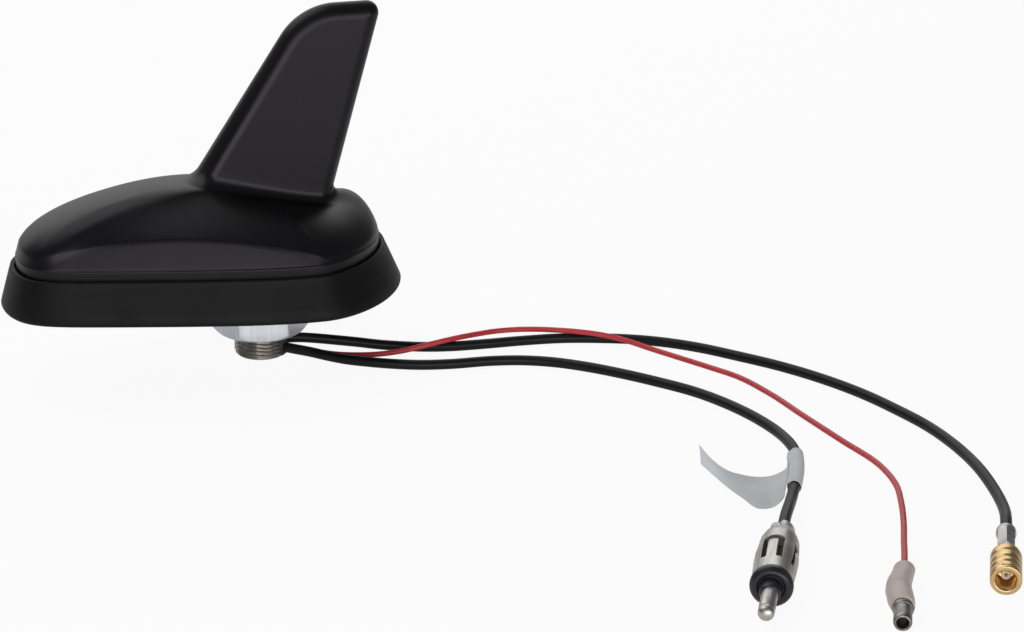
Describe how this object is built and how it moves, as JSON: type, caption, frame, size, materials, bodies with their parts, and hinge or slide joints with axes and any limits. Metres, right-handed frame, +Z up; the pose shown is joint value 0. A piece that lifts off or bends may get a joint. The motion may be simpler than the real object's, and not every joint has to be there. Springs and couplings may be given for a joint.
{
  "type": "shark fin aerial",
  "caption": "Roof aerial for a car: swept fin on a low rounded cover with a rubber seal, hollow threaded stud and nut, and leads to radio, navigation and supply connectors.",
  "frame": {"origin": "the stud's axis on the roof seat, the plane that the seal stands on", "axes": "+X towards the car's tail, +Z up along the stud and out of the roof, -Y the side seen in the picture"},
  "size_m": [0.2069, 0.2297, 0.0903],
  "materials": {
    "cover_plastic": "satin",
    "seal_rubber": "matt",
    "die_cast": "as cast",
    "gasket_rubber": "matt",
    "plated_steel": "bright zinc",
    "stud_nickel": "dull nickel",
    "board": "solder mask",
    "tin_plate": "tinned",
    "patch_ceramic": "fired",
    "spring_brass": "bright",
    "lead_jacket": "satin",
    "wire_jacket": "satin",
    "flag_paper": "matt",
    "plug_nickel": "bright nickel",
    "collar_plastic": "satin",
    "gold_plate": "bright gold",
    "white_insulator": "matt",
    "sleeve_plastic": "satin, slightly clear"
  },
  "bodies": {
    "aerial": {"cover": "cover_plastic", "base_seal": "seal_rubber", "base_plate": "die_cast", "cover_gasket": "gasket_rubber", "cover_screws": "plated_steel", "threaded_stud": "stud_nickel", "cable_grommet": "gasket_rubber", "main_board": "board", "board_screws": "plated_steel", "screening_can": "tin_plate", "ceramic_patch": "patch_ceramic", "patch_feed_pin": "tin_plate", "fin_blade": "board", "blade_clip": "spring_brass", "inner_leads": "lead_jacket", "radio_lead": "lead_jacket", "navigation_lead": "lead_jacket", "supply_wire": "wire_jacket", "lead_flag": "flag_paper", "radio_plug_barrel": "plug_nickel", "radio_plug_collar": "collar_plastic", "radio_plug_pin": "plug_nickel", "nav_ferrule": "tin_plate", "nav_body": "gold_plate", "nav_insulator": "white_insulator", "nav_contact": "gold_plate", "supply_sleeve": "sleeve_plastic", "supply_barrel": "tin_plate"},
    "clamp_washer": {"lock_washer": "plated_steel"},
    "nut": {"hex_nut": "plated_steel"}
  },
  "joints": [
    {"name": "nut_travel", "type": "slide", "parent": "aerial", "child": "clamp_washer", "axis": [0, 0, 1], "range_m": [0, 0.002]},
    {"name": "nut_turn", "type": "hinge", "parent": "clamp_washer", "child": "nut", "pos_m": [0, 0, -0.008], "axis": [0, 0, 1], "range_deg": [0, 720]}
  ],
  "couplings": [
    {"joint": "nut_travel", "follows": "nut_turn", "m_per_rad": 0.00015915}
  ]
}
